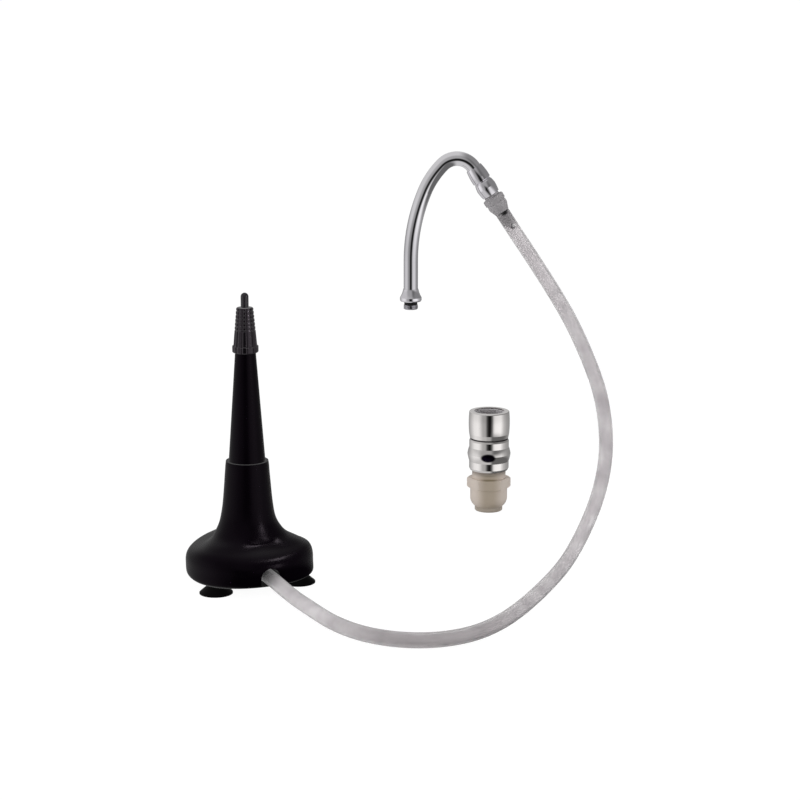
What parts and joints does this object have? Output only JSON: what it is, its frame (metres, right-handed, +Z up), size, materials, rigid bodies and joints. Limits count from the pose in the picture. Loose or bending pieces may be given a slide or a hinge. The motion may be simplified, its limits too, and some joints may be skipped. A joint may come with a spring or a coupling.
{
  "type": "faucet rinsing set",
  "caption": "Upright rinsing nozzle on a suction cup stand, fed through a clear hose by a gooseneck faucet spout with a quick coupler; larger quick coupler beside it.",
  "frame": {"origin": "on the floor, on the axis of the nozzle stand", "axes": "+Z up, -Y towards the front of the pictured view, +X to its right"},
  "size_m": [0.4469, 0.5279, 0.4332],
  "materials": {
    "stand_black": "satin",
    "cap_grey": "matte",
    "tip_grey": "satin",
    "cup_rubber": "matte",
    "seal_rubber": "matte",
    "inner_plastic": "matte",
    "screw_steel": "satin",
    "ball_steel": "polished",
    "spring_steel": "satin",
    "hose_vinyl": "clear soft vinyl",
    "chrome": "polished",
    "plug_plastic": "grey",
    "loose_plug_plastic": "grey beige"
  },
  "bodies": {
    "stand": {"base_shell": "stand_black", "base_cover": "stand_black", "base_screws": "screw_steel", "suction_cup_left": "cup_rubber", "suction_cup_right": "cup_rubber", "suction_cup_rear": "cup_rubber", "inlet_elbow": "inner_plastic", "elbow_screws": "screw_steel", "elbow_o_ring": "seal_rubber", "riser_tube": "inner_plastic", "riser_o_ring": "seal_rubber", "upper_cone": "stand_black", "cone_o_ring": "seal_rubber", "nozzle_body": "inner_plastic", "valve_washer": "seal_rubber", "hose": "hose_vinyl", "fitted_plug": "plug_plastic", "fitted_plug_o_ring": "seal_rubber"},
    "cap": {"nozzle_cap": "cap_grey"},
    "tip": {"jet_tip": "tip_grey", "tip_o_ring": "seal_rubber"},
    "spout": {"spout_tube": "chrome", "base_bell": "chrome", "inlet_nipple": "chrome", "nipple_gasket": "seal_rubber", "outlet_nut": "chrome", "outlet_washer": "seal_rubber", "fitted_socket": "chrome", "fitted_spring": "spring_steel", "fitted_spring_ring": "spring_steel", "fitted_balls": "ball_steel"},
    "fitted_sleeve": {"fitted_sleeve": "chrome"},
    "loose_plug": {"loose_plug": "loose_plug_plastic", "loose_plug_o_ring": "seal_rubber", "collet_ring": "loose_plug_plastic"},
    "loose_socket": {"loose_socket": "chrome", "loose_washer": "seal_rubber", "loose_spring": "spring_steel", "loose_spring_ring": "spring_steel", "loose_balls": "ball_steel"},
    "loose_sleeve": {"loose_sleeve": "chrome"}
  },
  "joints": [
    {"name": "cap_turn", "type": "hinge", "parent": "stand", "child": "cap", "pos_m": [0, 0, 0.262], "axis": [0, 0, 1], "range_deg": [0, 270]},
    {"name": "tip_rise", "type": "slide", "parent": "stand", "child": "tip", "axis": [0, 0, 1], "range_m": [0, 0.003]},
    {"name": "spout_swivel", "type": "hinge", "parent": "stand", "child": "spout", "pos_m": [0.2323, 0.095, 0.4163], "axis": [0.5446, 0, -0.8387], "continuous": true},
    {"name": "fitted_sleeve_slide", "type": "slide", "parent": "spout", "child": "fitted_sleeve", "axis": [0.5446, 0, -0.8387], "range_m": [0, 0.0028], "stiffness_N_per_m": 1500, "springref_m": -0.004, "deforming": ["fitted_spring"]},
    {"name": "loose_lift", "type": "slide", "parent": "stand", "child": "loose_plug", "axis": [0, 0, 1], "range_m": [0, 0.12]},
    {"name": "loose_swivel", "type": "hinge", "parent": "loose_plug", "child": "loose_socket", "pos_m": [0.2588, 0.2813, 0.0714], "axis": [0, 0, 1], "continuous": true},
    {"name": "loose_sleeve_slide", "type": "slide", "parent": "loose_socket", "child": "loose_sleeve", "axis": [0, 0, -1], "range_m": [0, 0.006], "stiffness_N_per_m": 1500, "springref_m": -0.006, "deforming": ["loose_spring"]}
  ],
  "couplings": [
    {"joint": "tip_rise", "follows": "cap_turn", "m_per_rad": 0.00063662}
  ]
}
